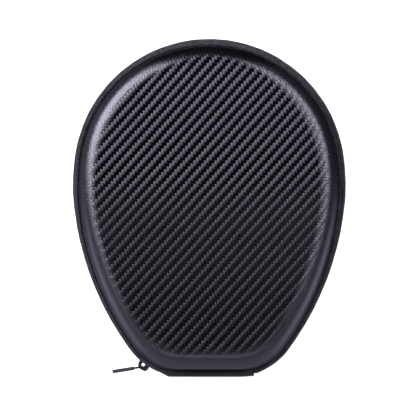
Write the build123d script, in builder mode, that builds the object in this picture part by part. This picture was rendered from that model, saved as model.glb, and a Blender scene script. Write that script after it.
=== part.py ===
from build123d import *
import os
from math import cos, sin, tan, radians, sqrt, degrees, acos

# A hard headphone case that opens like a book.  It lies on its back shell: +Z is up
# through the lid, +Y points to the wide round end, and the fabric hinge is at -Y.
# The origin is on the resting face, under the middle of the case.  All lengths are in mm.

# ---- overall ----
case_depth = 66.0            # back face to lid face
seam_z = case_depth / 2      # plane where the two shells meet
half = case_depth / 2        # depth of one shell from the seam
draft = 5.0                  # degrees of draft on the side wall
shoulder_r = 9.5             # outer radius from wall to face

# ---- plan outline: four tangent arcs on each side and a short flat at the hinge ----
top_c = Vector(0, 23.60)
top_r, side_r, flank_r, corner_r = 96.31, 142.01, 210.30, 47.04
a_side, a_flank, a_corner = 9.29, -6.69, -36.54      # degrees where the arcs change

# ---- laminate of each shell ----
skin_t = 0.8                 # embossed cover
foam_t = 3.2                 # moulded EVA
lining_t = 0.6               # knit lining
ply = skin_t + foam_t + lining_t

# ---- rim section, measured outward (n) from the outline and away from the seam (s) ----
wall_n = -5.0                # cover's edge
skin_s = 7.8                 # height of the cover's edge over the seam
rim_s = 5.3                  # cut edge of foam and lining
bead_n, bead_s = -2.2, 6.7   # middle of the rim bead
foam_bead_r = 1.4
tape_t = 0.8
tape_bead_r = foam_bead_r + tape_t
tuck_s = 6.9                 # underside of the tape where it is tucked under the cover
curtain_n0, curtain_n1 = -4.7, -3.9    # tape behind the coils
chain_gap = 0.75             # half the gap between the two coils
coil_n0, coil_n1, coil_s = -3.8, -1.7, 3.2

# ---- hinge ----
hinge_half = 33.0            # half width of the fabric hinge
hinge_axis_y = -121.5        # the fabric turns about a line just outside the strip

# ---- zip slider, at the lower left corner, on an arc about the corner's centre ----
slider_at = 233.9            # degrees round the left corner centre
slider_w = 4.1               # half its width
plate_n0, plate_n1 = -1.4, -0.3
inner_n0, inner_n1 = -6.3, -5.3
bridge_w = 1.3               # half width of the bridge
pin_r = 0.6
pin_n = 3.1                  # distance of the pull's cross pin outside the outline
pull_dir = 189.0             # degrees, direction of the pull at rest
pull_len = 21.6              # cross pin to tip

os.makedirs("parts", exist_ok=True)

# centres of the other arcs follow from tangency
def polar(angle, r=1.0):
    return Vector(r * cos(radians(angle)), r * sin(radians(angle)))

side_c = top_c + polar(a_side, top_r - side_r)
flank_c = side_c + polar(a_flank, side_r - flank_r)
corner_c = flank_c + polar(a_corner, flank_r - corner_r)
left_corner_c = Vector(-corner_c.X, corner_c.Y)
top_y = top_c.Y + top_r
foot_y = corner_c.Y - corner_r


def arc(c, r, a0, a1, z=0.0):
    p = [c + polar(a, r) for a in (a0, (a0 + a1) / 2, a1)]
    return Edge.make_three_point_arc(*[Vector(q.X, q.Y, z) for q in p])


def half_rim(n=0.0, last=-90.0, z=0.0, flat=False):
    """Right half of the outline, offset outward by n, from the top down to the angle
    'last' on the corner arc; flat=True runs on to the middle of the hinge side."""
    edges = [arc(top_c, top_r + n, 90, a_side, z), arc(side_c, side_r + n, a_side, a_flank, z),
             arc(flank_c, flank_r + n, a_flank, a_corner, z),
             arc(corner_c, corner_r + n, a_corner, last, z)]
    if flat:
        edges.append(Edge.make_line((corner_c.X, foot_y - n, z), (0, foot_y - n, z)))
    return edges


def full_rim(n=0.0, z=0.0):
    right = half_rim(n, flat=True, z=z)
    return right + [e.mirror(Plane.YZ) for e in right]


def rim_plane(z=seam_z):
    """Section plane at the top of the outline: x is n, outward; y is s, upward."""
    return Plane(origin=(0, top_y, z), x_dir=(0, 1, 0), z_dir=(1, 0, 0))


def wall_at(s, depth=0.0):
    """n of the side wall at height s, for a layer that lies 'depth' inside the cover."""
    return wall_n - (s - skin_s) * tan(radians(draft)) - depth


def core(depth):
    """Solid block inside one layer of the lid: drafted wall, round shoulder, flat face."""
    with BuildPart() as block:
        with BuildSketch(Plane.XY.offset(seam_z + rim_s)):
            with BuildLine():
                add(full_rim(wall_at(rim_s, depth)))
            make_face()
        extrude(amount=half - rim_s - depth, taper=draft)
        fillet(block.faces().sort_by(Axis.Z)[-1].edges(), radius=shoulder_r - depth)
    return block.part


def rim_sweep(section, last_right, last_left, flat=False):
    """Sweep a face drawn in the rim plane down both sides of the outline."""
    with BuildPart() as run:
        for last, side in ((last_right, 1), (last_left, -1)):
            path = Wire(half_rim(0, last=last, z=seam_z, flat=flat))
            piece = sweep(sections=section, path=path, mode=Mode.PRIVATE)
            add(piece if side == 1 else piece.mirror(Plane.YZ))
    return run.part


def rim_turn(section, start, end):
    """Turn a face drawn at the angle 'start' round the left corner's centre."""
    with BuildPart() as run:
        revolve(section, axis=Axis((left_corner_c.X, left_corner_c.Y, 0), (0, 0, 1)),
                revolution_arc=end - start)
    return run.part


def corner_plane(angle):
    """Section plane at an angle round the left corner: x is n, outward; y is s, upward."""
    p = left_corner_c + polar(angle, corner_r)
    tangent = polar(angle + 90)
    return Plane(origin=(p.X, p.Y, seam_z), x_dir=(polar(angle).X, polar(angle).Y, 0),
                 z_dir=(-tangent.X, -tangent.Y, 0))


seam = Plane.XY.offset(seam_z)
tape_last = -degrees(acos((hinge_half + 0.6 - corner_c.X) / corner_r))   # tape ends under the hinge
coil_last = -60.7
blocks = {d: core(d) for d in (0.0, skin_t, skin_t + foam_t, ply)}

# ================= lid =================
with BuildPart() as lid_skin:
    add(blocks[0.0])
    add(blocks[skin_t], mode=Mode.SUBTRACT)
    with BuildSketch(seam):
        Rectangle(300, 300)
    extrude(amount=skin_s, mode=Mode.SUBTRACT)

# foam: wall, face, and a flange with a round bead that carries the zip tape
with BuildPart() as lid_shell:
    with BuildSketch(seam.offset(rim_s)):
        with BuildLine():
            add(full_rim(bead_n))
        make_face()
    extrude(amount=tuck_s - rim_s)
    with BuildSketch(rim_plane()) as bead:
        with Locations((bead_n, bead_s)):
            Circle(foam_bead_r)
    add(rim_sweep(bead.sketch, -90, -90, flat=True))
    add(blocks[skin_t])
    add(blocks[skin_t + foam_t], mode=Mode.SUBTRACT)

with BuildPart() as lid_lining:
    add(blocks[skin_t + foam_t])
    add(blocks[ply], mode=Mode.SUBTRACT)

# ribbon that covers the cut edge of foam and lining, and runs up inside the wall
bind_t, bind_top = 0.7, 15.0
with BuildPart() as lid_edge_binding:
    with BuildSketch(rim_plane()) as sk:
        with BuildLine():
            Polyline((curtain_n0, rim_s - bind_t), (curtain_n0, rim_s),
                     (wall_at(rim_s, ply), rim_s), (wall_at(bind_top, ply), bind_top),
                     (wall_at(bind_top, ply + bind_t), bind_top),
                     (wall_at(rim_s - bind_t, ply + bind_t), rim_s - bind_t), close=True)
        make_face()
    add(rim_sweep(sk.sketch, -90, -90, flat=True))


def bead_at(s, r):
    """n of the inner side of the round bead at height s."""
    return bead_n - sqrt(r * r - (s - bead_s) ** 2)


# zip tape: tucked under the cover, over the bead, and in behind the coil
with BuildPart() as lid_zip_tape:
    with BuildSketch(rim_plane()) as sk:
        with BuildLine():
            l1 = Line((wall_at(tuck_s, skin_t), tuck_s), (wall_at(tuck_s, skin_t), skin_s))
            l2 = Line(l1 @ 1, (bead_at(skin_s, tape_bead_r), skin_s))
            l3 = ThreePointArc(l2 @ 1, (bead_n, bead_s + tape_bead_r), (bead_n + tape_bead_r, bead_s))
            l4 = ThreePointArc(l3 @ 1, (bead_n + tape_bead_r * cos(radians(45)),
                                       bead_s - tape_bead_r * sin(radians(45))),
                               (bead_n, bead_s - tape_bead_r))
            l5 = Polyline(l4 @ 1, (curtain_n1, bead_s - tape_bead_r), (curtain_n1, chain_gap),
                          (curtain_n0, chain_gap), (curtain_n0, bead_s - foam_bead_r),
                          (bead_n, bead_s - foam_bead_r))
            l6 = ThreePointArc(l5 @ 1, (bead_n + foam_bead_r, bead_s), (bead_n, bead_s + foam_bead_r))
            d = radians(150)
            l7 = ThreePointArc(l6 @ 1, (bead_n + foam_bead_r * cos(d), bead_s + foam_bead_r * sin(d)),
                               (bead_at(tuck_s, foam_bead_r), tuck_s))
            Line(l7 @ 1, l1 @ 0)
        make_face()
    add(rim_sweep(sk.sketch, tape_last, tape_last))

with BuildPart() as lid_zip_coil:
    with BuildSketch(rim_plane()) as sk:
        with Locations(((coil_n0 + coil_n1) / 2, (chain_gap + coil_s) / 2)):
            RectangleRounded(coil_n1 - coil_n0, coil_s - chain_gap, 0.7)
    add(rim_sweep(sk.sketch, coil_last, coil_last))

# lock stitch in the groove between cover and tape
with BuildPart() as lid_seam_thread:
    with BuildSketch(rim_plane()) as sk:
        with Locations((-4.52, skin_s + 0.24)):
            Circle(0.22)
    add(rim_sweep(sk.sketch, tape_last, tape_last))

# small clamp on the end of the coil, past the closed slider
stop_from, stop_to = 241.0, 242.6
with BuildPart() as lid_zip_stop:
    with BuildSketch(corner_plane(stop_from)) as sk:
        with Locations(((curtain_n1 - 1.4) / 2, (chain_gap + 0.15 + 3.6) / 2)):
            RectangleRounded(-1.4 - curtain_n1, 3.6 - chain_gap - 0.15, 0.5)
    add(rim_turn(sk.sketch, stop_from, stop_to))

# ----- mesh pocket on the inside of the lid, mouth towards the round end -----
floor_z = case_depth - ply           # lining surface inside the lid
pocket_n = -21.0                     # foot of the mesh, from the outline
pocket_y = 18.0                      # line of the mouth
pocket_rise = 7.0
mesh_t = 0.7
slope = 40.0


def pocket_block(inset, height):
    with BuildPart() as block:
        with BuildSketch(Plane.XY.offset(floor_z)):
            with BuildLine():
                add(full_rim(pocket_n - inset))
            make_face()
        extrude(amount=-height, taper=slope)
        with BuildSketch(Plane.XY.offset(floor_z - 20)):
            with Locations((0, pocket_y + 100)):
                Rectangle(300, 200)
        extrude(amount=40, mode=Mode.SUBTRACT)
    return block.part


with BuildPart() as pocket_mesh:
    add(pocket_block(0, pocket_rise))
    add(pocket_block(mesh_t * 1.2, pocket_rise - mesh_t), mode=Mode.SUBTRACT)
    # the last strip below the mouth belongs to the elastic
    with BuildSketch(Plane.XY.offset(floor_z - 20)):
        with Locations((0, pocket_y + 96)):
            Rectangle(300, 200)
    extrude(amount=40, mode=Mode.SUBTRACT)

with BuildPart() as pocket_elastic:
    add(pocket_block(-0.6, pocket_rise + 0.6))
    add(pocket_block(mesh_t * 1.2 + 0.6, pocket_rise - mesh_t - 0.6), mode=Mode.SUBTRACT)
    with BuildSketch(Plane.XY.offset(floor_z - 20)):
        with Locations((0, pocket_y - 104)):
            Rectangle(300, 200)
    extrude(amount=40, mode=Mode.SUBTRACT)

# ribbon sewn over the edge of the mesh
with BuildPart() as pocket_binding:
    with BuildSketch(Plane.XY.offset(floor_z)):
        with BuildLine():
            add(full_rim(pocket_n + 4.0))
        make_face()
        with BuildLine():
            add(full_rim(pocket_n + 0.7))
        make_face(mode=Mode.SUBTRACT)
        with Locations((0, pocket_y + 103)):
            Rectangle(300, 200, mode=Mode.SUBTRACT)
    extrude(amount=-0.9)

# ================= base: the same layers, mirrored in the seam =================
with BuildPart() as base_skin:
    mirror(lid_skin.part, about=seam)
with BuildPart() as base_shell:
    mirror(lid_shell.part, about=seam)
with BuildPart() as base_lining:
    mirror(lid_lining.part, about=seam)
with BuildPart() as base_edge_binding:
    mirror(lid_edge_binding.part, about=seam)
with BuildPart() as base_zip_tape:
    mirror(lid_zip_tape.part, about=seam)
with BuildPart() as base_zip_coil:
    mirror(lid_zip_coil.part, about=seam)
with BuildPart() as base_seam_thread:
    mirror(lid_seam_thread.part, about=seam)
with BuildPart() as base_zip_stop:
    mirror(lid_zip_stop.part, about=seam)

# staple that ties both coils together at the far end of the zip
with BuildPart() as zip_bottom_stop:
    with BuildSketch(corner_plane(stop_from)) as sk:
        with Locations(((curtain_n1 - 1.3) / 2, 0)):
            RectangleRounded(-1.3 - curtain_n1 - 0.1, 7.0, 0.6)
    staple = rim_turn(sk.sketch, stop_from, stop_to + 0.6)
    mirror(staple, about=Plane.YZ)

# ----- fabric hinge: an outer strip over both beads, an inner strip over the bindings -----
strip_t = 0.7
gap = 0.3                             # clearance to the lid, which turns away from it
hinge_last = -degrees(acos((hinge_half - corner_c.X) / corner_r))
hinge_plane = Plane(origin=(0, foot_y, seam_z), x_dir=(0, -1, 0), z_dir=(-1, 0, 0))


def hinge_sweep(section, last):
    """Sweep a face drawn in the hinge plane along the hinge side, both ways from its middle."""
    with BuildPart() as run:
        path = Wire([Edge.make_line((0, foot_y, seam_z), (corner_c.X, foot_y, seam_z)),
                     arc(corner_c, corner_r, -90, last, seam_z)])
        piece = sweep(sections=section, path=path, mode=Mode.PRIVATE)
        add(piece)
        add(piece.mirror(Plane.YZ))
    return run.part


r_base = foam_bead_r + 0.01
r_in, r_out = foam_bead_r + gap, foam_bead_r + gap + strip_t
k = sin(radians(45))
with BuildPart() as hinge_outer_strip:
    with BuildSketch(hinge_plane) as sk:
        with BuildLine():
            m1 = ThreePointArc((bead_at(skin_s, r_out), skin_s), (bead_n, bead_s + r_out),
                               (bead_n + r_out * k, bead_s + r_out * k))
            m2 = ThreePointArc(m1 @ 1, (bead_n + r_out * cos(radians(20)), bead_s + r_out * sin(radians(20))),
                               (bead_n + r_out, bead_s))
            m3 = Line(m2 @ 1, (bead_n + r_out, -bead_s))
            m4 = ThreePointArc(m3 @ 1, (bead_n + r_out * k, -bead_s - r_out * k), (bead_n, -bead_s - r_out))
            m5 = ThreePointArc(m4 @ 1, (bead_n + r_out * cos(radians(115)), -bead_s - r_out * sin(radians(115))),
                               (bead_at(skin_s, r_out), -skin_s))
            m6 = Line(m5 @ 1, (bead_at(skin_s, r_base), -skin_s))
            m7 = ThreePointArc(m6 @ 1, (bead_n + r_base * cos(radians(110)), -bead_s - r_base * sin(radians(110))),
                               (bead_n, -bead_s - r_base))
            m8 = ThreePointArc(m7 @ 1, (bead_n + r_base * k, -bead_s - r_base * k), (bead_n + r_base, -bead_s))
            m9 = Polyline(m8 @ 1, (bead_n + r_base, -1.0), (bead_n + r_in, 0.0), (bead_n + r_in, bead_s))
            m10 = ThreePointArc(m9 @ 1, (bead_n + r_in * k, bead_s + r_in * k), (bead_n, bead_s + r_in))
            m11 = ThreePointArc(m10 @ 1, (bead_n + r_in * cos(radians(115)), bead_s + r_in * sin(radians(115))),
                                (bead_at(skin_s, r_in), skin_s))
            Line(m11 @ 1, m1 @ 0)
        make_face()
    add(hinge_sweep(sk.sketch, hinge_last))

# the inner ply lines the gap behind the outer strip and runs in over both cut edges;
# it is sewn to the base and keeps clear of the lid's ribbon
leg_n, ply_n, ply_t = -10.0, foam_bead_r + bead_n - 0.35, 0.5
with BuildPart() as hinge_inner_strip:
    with BuildSketch(hinge_plane) as sk:
        s_lid, s_base = rim_s - bind_t - 0.35, rim_s - bind_t
        with BuildLine() as outline:
            Polyline((leg_n, s_lid), (ply_n, s_lid), (ply_n, -s_base), (leg_n, -s_base),
                     (leg_n, -s_base + ply_t), (ply_n - ply_t, -s_base + ply_t),
                     (ply_n - ply_t, s_lid - ply_t), (leg_n, s_lid - ply_t), close=True)
        make_face()
    add(hinge_sweep(sk.sketch, hinge_last + 0.6))

# rows of stitches that hold the outer strip on each bead
with BuildPart() as lid_hinge_thread:
    with BuildSketch(hinge_plane) as sk:
        with Locations((bead_n - 0.2, bead_s + r_out + 0.3)):
            Circle(0.22)
    add(hinge_sweep(sk.sketch, hinge_last - 2.5))
with BuildPart() as base_hinge_thread:
    mirror(lid_hinge_thread.part, about=seam)

# ================= zip slider =================
# local plane at the slider: x runs back along the rim (away from the hinge), y points
# outward, z is up; the pieces are drawn either in this plane or in the face plane (x, z)
rim_pt = left_corner_c + polar(slider_at, corner_r)
back, outward = polar(slider_at - 90), polar(slider_at)
slider_len, side_w = 10.4, 0.6
side_plane = Plane(origin=(rim_pt.X, rim_pt.Y, seam_z), x_dir=(back.X, back.Y, 0), z_dir=(0, 0, 1))


def slider_face(n):
    """Plane parallel to the plates at height n: x back along the rim, y up, normal inward."""
    o = rim_pt + outward * n
    return Plane(origin=(o.X, o.Y, seam_z), x_dir=(back.X, back.Y, 0), z_dir=(-outward.X, -outward.Y, 0))


def plate(n_top, n_low, r=0.9):
    with BuildPart() as slab:
        with BuildSketch(slider_face(n_top)) as sk:
            h = slider_len / 2
            with BuildLine():
                Polyline((-h, slider_w - 0.5), (-h + 1.6, slider_w), (h - 3.0, slider_w), (h, slider_w - 0.35),
                         (h, -slider_w + 0.35), (h - 3.0, -slider_w), (-h + 1.6, -slider_w),
                         (-h, -slider_w + 0.5), close=True)
            make_face()
            fillet([v for v in sk.vertices() if abs(abs(side_plane.to_local_coords(v).X) - h) < 0.01], radius=r)
        extrude(amount=n_top - n_low)
        top = slab.faces().sort_by(Axis(origin=(0, 0, 0), direction=(outward.X, outward.Y, 0)))
        fillet(top[-1].edges(), radius=0.3)
    return slab.part


with BuildPart() as slider_body:
    add(plate(plate_n1, plate_n0))
    add(plate(inner_n1, inner_n0))
    # side flanges that keep the coils in
    with BuildSketch(slider_face(plate_n0 + 0.1)):
        for y in (slider_w - side_w / 2, -slider_w + side_w / 2):
            with Locations((0.4, y)):
                Rectangle(slider_len - 4.0, side_w)
    extrude(amount=plate_n0 + 0.1 + 3.3)
    # post between the plates, at the open end
    with BuildSketch(slider_face(plate_n0 + 0.1)):
        with Locations((-slider_len / 2 + 1.5, 0)):
            SlotOverall(2.6, 0.9)
    extrude(amount=plate_n0 + 0.1 - inner_n1 + 0.1)
    # bridge over the outer plate, steeper at the open end
    with BuildSketch(side_plane):
        with BuildLine():
            y0 = plate_n1 - 0.7
            w1 = Polyline((-4.3, 1.2), (-4.3, y0), (-3.0, y0), (-3.0, 1.0))
            w2 = Spline(w1 @ 1, (-1.4, 3.6), (0.6, 4.0), (2.6, 2.3), (3.4, y0), tangents=((0, 1), (0.25, -1)))
            w3 = Line(w2 @ 1, (4.6, y0))
            Spline(w3 @ 1, (3.7, 2.9), (0.9, 5.1), (-2.0, 4.75), w1 @ 0, tangents=((-0.25, 1), (0, -1)))
        make_face()
    extrude(amount=bridge_w, both=True)

# ================= pull =================
pin = left_corner_c + polar(slider_at, corner_r + pin_n)
pd = polar(pull_dir)
arm_t, arm_in, arm_out = 1.1, 1.65, 2.85
pull_plane = Plane(origin=(pin.X, pin.Y, seam_z), x_dir=(pd.X, pd.Y, 0), z_dir=(0, 0, 1))
# face plane of the pull: x along its length, y up
face_plane = Plane(origin=(pin.X, pin.Y, seam_z), x_dir=(pd.X, pd.Y, 0), z_dir=(pd.Y, -pd.X, 0))
with BuildPart() as pull_loop:
    with BuildSketch(seam.offset(-arm_in - 0.2)):
        with Locations((pin.X, pin.Y)):
            Circle(pin_r)
    extrude(amount=2 * arm_in + 0.4)
    with BuildSketch(face_plane):
        with BuildLine():
            Polyline((-0.55, arm_in), (-0.55, arm_out - 0.4), (-0.15, arm_out), (8.5, arm_out), (9.5, arm_out - 1.0),
                     (9.5, -arm_out + 1.0), (8.5, -arm_out), (-0.15, -arm_out), (-0.55, -arm_out + 0.4),
                     (-0.55, -arm_in), (5.0, -arm_in), (5.0, arm_in), close=True)
        make_face()
    extrude(amount=arm_t / 2, both=True)

grip_from, grip_w, grip_t = 5.6, 3.6, 2.3
with BuildPart() as pull_grip:
    with BuildSketch(face_plane):
        with BuildLine():
            g1 = Polyline((pull_len - 3.0, grip_w), (grip_from + 1.2, grip_w - 0.3), (grip_from, grip_w - 1.4),
                          (grip_from, -grip_w + 1.4), (grip_from + 1.2, -grip_w + 0.3), (pull_len - 3.0, -grip_w))
            ThreePointArc(g1 @ 1, (pull_len, 0), g1 @ 0)
        make_face()
    extrude(amount=grip_t / 2, both=True)
    fillet(pull_grip.faces().filter_by(lambda f: abs(f.normal_at().dot(face_plane.z_dir)) > 0.99).edges(), radius=0.6)
    add(pull_loop.part, mode=Mode.SUBTRACT)

pieces = {
    "lid_skin": lid_skin, "lid_shell": lid_shell, "lid_lining": lid_lining,
    "lid_edge_binding": lid_edge_binding, "lid_zip_tape": lid_zip_tape, "lid_zip_coil": lid_zip_coil,
    "lid_seam_thread": lid_seam_thread, "lid_zip_stop": lid_zip_stop, "lid_hinge_thread": lid_hinge_thread,
    "pocket_mesh": pocket_mesh, "pocket_elastic": pocket_elastic, "pocket_binding": pocket_binding,
    "base_skin": base_skin, "base_shell": base_shell, "base_lining": base_lining,
    "base_edge_binding": base_edge_binding, "base_zip_tape": base_zip_tape, "base_zip_coil": base_zip_coil,
    "base_seam_thread": base_seam_thread, "base_zip_stop": base_zip_stop, "zip_bottom_stop": zip_bottom_stop,
    "base_hinge_thread": base_hinge_thread, "hinge_outer_strip": hinge_outer_strip,
    "hinge_inner_strip": hinge_inner_strip,
    "slider_body": slider_body, "pull_loop": pull_loop, "pull_grip": pull_grip,
}
for name, piece in pieces.items():
    piece.part.label = name
    export_step(piece.part, f"parts/{name}.step")
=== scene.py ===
import math
import bpy
import numpy as np
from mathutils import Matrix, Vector
from mathutils.geometry import delaunay_2d_cdt


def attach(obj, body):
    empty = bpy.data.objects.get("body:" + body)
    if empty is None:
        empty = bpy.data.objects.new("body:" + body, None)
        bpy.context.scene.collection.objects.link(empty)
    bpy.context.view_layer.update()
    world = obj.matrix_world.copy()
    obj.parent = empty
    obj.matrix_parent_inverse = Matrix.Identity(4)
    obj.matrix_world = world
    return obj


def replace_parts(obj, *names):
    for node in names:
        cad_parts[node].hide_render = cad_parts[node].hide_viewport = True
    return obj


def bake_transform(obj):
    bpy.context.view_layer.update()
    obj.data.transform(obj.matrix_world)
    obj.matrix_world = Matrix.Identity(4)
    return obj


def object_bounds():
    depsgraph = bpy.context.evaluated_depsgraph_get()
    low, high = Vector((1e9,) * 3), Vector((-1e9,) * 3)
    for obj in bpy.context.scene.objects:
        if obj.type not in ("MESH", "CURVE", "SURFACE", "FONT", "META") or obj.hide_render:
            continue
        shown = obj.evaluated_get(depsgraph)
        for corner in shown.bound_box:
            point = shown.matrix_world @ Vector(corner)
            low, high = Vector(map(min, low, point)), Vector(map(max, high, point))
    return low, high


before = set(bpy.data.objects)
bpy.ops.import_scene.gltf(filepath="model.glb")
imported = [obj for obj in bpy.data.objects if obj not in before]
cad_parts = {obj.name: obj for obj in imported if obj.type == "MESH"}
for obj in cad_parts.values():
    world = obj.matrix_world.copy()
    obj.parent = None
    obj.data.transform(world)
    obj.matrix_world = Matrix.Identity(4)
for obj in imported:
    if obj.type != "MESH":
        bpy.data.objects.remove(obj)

CAD_BOX = [list(map(float, c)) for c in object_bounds()]
rng = np.random.default_rng(7)
MM = 0.001
SEAM = (CAD_BOX[0][2] + CAD_BOX[1][2]) / 2 / MM          # 33 mm, where the shells meet
HALF = SEAM

# ------------------------------------------------------------------ outline
# The same plan outline as the CAD: tangent arcs, here followed once round the rim.
# t is the distance along it in mm, from the middle of the hinge, anticlockwise from above.


def pol(a, r=1.0):
    return np.array([r * math.cos(math.radians(a)), r * math.sin(math.radians(a))])


TOP_C, R_TOP, R_SIDE, R_FLANK, R_CORNER = np.array([0.0, 23.60]), 96.31, 142.01, 210.30, 47.04
A1, A2, A3 = 9.29, -6.69, -36.54
SIDE_C = TOP_C + pol(A1, R_TOP - R_SIDE)
FLANK_C = SIDE_C + pol(A2, R_SIDE - R_FLANK)
CORNER_C = FLANK_C + pol(A3, R_FLANK - R_CORNER)
FOOT_Y = CORNER_C[1] - R_CORNER
mir = np.array([-1.0, 1.0])
SEGS = [("line", np.array([0.0, FOOT_Y]), CORNER_C[0]),
        ("arc", CORNER_C, R_CORNER, -90.0, A3), ("arc", FLANK_C, R_FLANK, A3, A2),
        ("arc", SIDE_C, R_SIDE, A2, A1), ("arc", TOP_C, R_TOP, A1, 180 - A1),
        ("arc", SIDE_C * mir, R_SIDE, 180 - A1, 180 - A2), ("arc", FLANK_C * mir, R_FLANK, 180 - A2, 180 - A3),
        ("arc", CORNER_C * mir, R_CORNER, 180 - A3, 270.0),
        ("line", np.array([-CORNER_C[0], FOOT_Y]), CORNER_C[0])]
LENS = [s[2] if s[0] == "line" else s[2] * math.radians(s[4] - s[3]) for s in SEGS]
ENDS = np.cumsum(LENS)
RIM = float(ENDS[-1])
LC = CORNER_C * mir                                       # left corner's centre


def rim(t):
    """Points on the outline and outward normals for distances t (mm)."""
    t = np.mod(np.asarray(t, float), RIM)
    P, U = np.zeros((len(t), 2)), np.zeros((len(t), 2))
    start = 0.0
    for seg, length, end in zip(SEGS, LENS, ENDS):
        m = (t >= start) & ((t < end) | (end == ENDS[-1]))
        d = t[m] - start
        if seg[0] == "line":
            P[m] = seg[1] + np.stack([d, np.zeros_like(d)], 1)
            U[m] = (0.0, -1.0)
        else:
            a = np.radians(seg[3]) + d / seg[2]
            U[m] = np.stack([np.cos(a), np.sin(a)], 1)
            P[m] = seg[1] + seg[2] * U[m]
        start = end
    return P, U


def rim_t(angle):
    """t of the point at an angle (degrees) round the right or the left corner's centre."""
    if angle < 0:
        return float(ENDS[0] + R_CORNER * math.radians(angle + 90))
    return float(ENDS[6] + R_CORNER * math.radians(angle - (180 - A3)))


def place(t, n, s, side):
    """3-D points in mm: n outward from the outline, s away from the seam on that side (+1 lid, -1 base)."""
    P, U = rim(t)
    q = P + U * np.asarray(n)[:, None]
    return np.column_stack([q, SEAM + side * np.asarray(s)])


# ------------------------------------------------------------------ meshes
def mesh(name, verts, faces, mat, smooth=True, attrs=None, sharp=None):
    me = bpy.data.meshes.new(name)
    me.from_pydata((np.asarray(verts) * MM).tolist(), [], [list(map(int, f)) for f in faces])
    me.update()
    if smooth:
        me.polygons.foreach_set("use_smooth", np.ones(len(me.polygons), bool))
    for key, val in (attrs or {}).items():
        val = np.asarray(val, np.float32)
        if val.ndim == 1:
            me.attributes.new(key, "FLOAT", "POINT").data.foreach_set("value", val)
        else:
            me.attributes.new(key, "FLOAT_VECTOR", "POINT").data.foreach_set("vector", val.ravel())
    ob = bpy.data.objects.new(name, me)
    bpy.context.scene.collection.objects.link(ob)
    for m in (mat if isinstance(mat, (list, tuple)) else [mat]):
        me.materials.append(m)
    if sharp:
        me.set_sharp_from_angle(angle=math.radians(sharp))
    return ob


def grid_faces(rows, cols, close_rows=False, close_cols=False, flip=False):
    """Quads of a rows x cols grid of vertices."""
    r = np.arange(rows if close_rows else rows - 1)
    c = np.arange(cols if close_cols else cols - 1)
    R, C = np.meshgrid(r, c, indexing="ij")
    R, C = R.ravel(), C.ravel()
    R2, C2 = (R + 1) % rows, (C + 1) % cols
    q = np.stack([R * cols + C, R2 * cols + C, R2 * cols + C2, R * cols + C2], 1)
    return q[:, ::-1] if flip else q


def sweep(name, ts, profile, side, mat, closed=False, wobble=None, attrs=True, **kw):
    """Sweeps a closed (n, s) profile along the rim. closed: all the way round. wobble(t, k) -> (dn, ds)."""
    prof = np.asarray(profile, float)
    rows, cols = len(ts), len(prof)
    t = np.repeat(ts, cols)
    n, s = np.tile(prof[:, 0], rows), np.tile(prof[:, 1], rows)
    if wobble is not None:
        dn, ds = wobble(t, np.tile(np.arange(cols), rows))
        n, s = n + dn, s + ds
    V = place(t, n, s, side)
    area = np.sum(prof[:, 0] * np.roll(prof[:, 1], -1) - np.roll(prof[:, 0], -1) * prof[:, 1])
    flip = (area > 0) == (side > 0)
    F = [tuple(f) for f in grid_faces(rows, cols, close_rows=closed, close_cols=True, flip=flip)]
    if not closed:
        a, b = list(range(cols)), [(rows - 1) * cols + k for k in range(cols)]
        F.append(tuple(a if flip else a[::-1]))
        F.append(tuple(b[::-1] if flip else b))
    step = np.linalg.norm(np.diff(np.vstack([prof, prof[:1]]), axis=0), axis=1)
    across = np.concatenate([[0], np.cumsum(step)[:-1]])
    at = {"along": t, "across": np.tile(across, rows)} if attrs else {}
    at.update(kw.pop("extra", {}))
    return mesh(name, V, F, mat, attrs=at, **kw)


def arc_pts(c, r, a0, a1, k, ry=None):
    a = np.radians(np.linspace(a0, a1, k))
    return [(c[0] + r * math.cos(x), c[1] + (r if ry is None else ry) * math.sin(x)) for x in a]


def dense(points, step):
    """Adds points along a polyline so that no piece of it is longer than step."""
    out = []
    pts = [np.asarray(p, float) for p in points]
    for a, b in zip(pts[:-1], pts[1:]):
        k = max(1, int(math.ceil(np.linalg.norm(b - a) / step)))
        out += [a + (b - a) * i / k for i in range(k)]
    return out + [pts[-1]]


def capsules(name, centres, along, radial, length, r, mat, squash=0.8, taper=0.55, rings=5, sides=6):
    """Small stitches: one rounded bar at each centre, lying along 'along', thin in 'radial'."""
    c, x, y = (np.asarray(v, float) for v in (centres, along, radial))
    z = np.cross(x, y)
    u = np.linspace(-1, 1, rings)
    rad = np.sqrt(np.maximum(1 - np.abs(u) ** 3, 0.0)) * (1 - taper) + taper * (1 - u ** 2)
    rad[0] = rad[-1] = 0.25
    ang = np.linspace(0, 2 * np.pi, sides, endpoint=False)
    loc = np.array([(ui * length / 2, ri * r * squash * math.cos(a), ri * r * math.sin(a))
                    for ui, ri in zip(u, rad) for a in ang])
    V = (c[:, None] + loc[None, :, :1] * x[:, None] + loc[None, :, 1:2] * y[:, None] + loc[None, :, 2:] * z[:, None])
    F1 = [tuple(f) for f in grid_faces(rings, sides, close_cols=True, flip=True)]
    F1 += [tuple(range(sides)), tuple(range((rings - 1) * sides, rings * sides))[::-1]]
    m = rings * sides
    F = [tuple(i * m + k for k in f) for i in range(len(c)) for f in F1]
    return mesh(name, V.reshape(-1, 3), F, mat)


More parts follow.
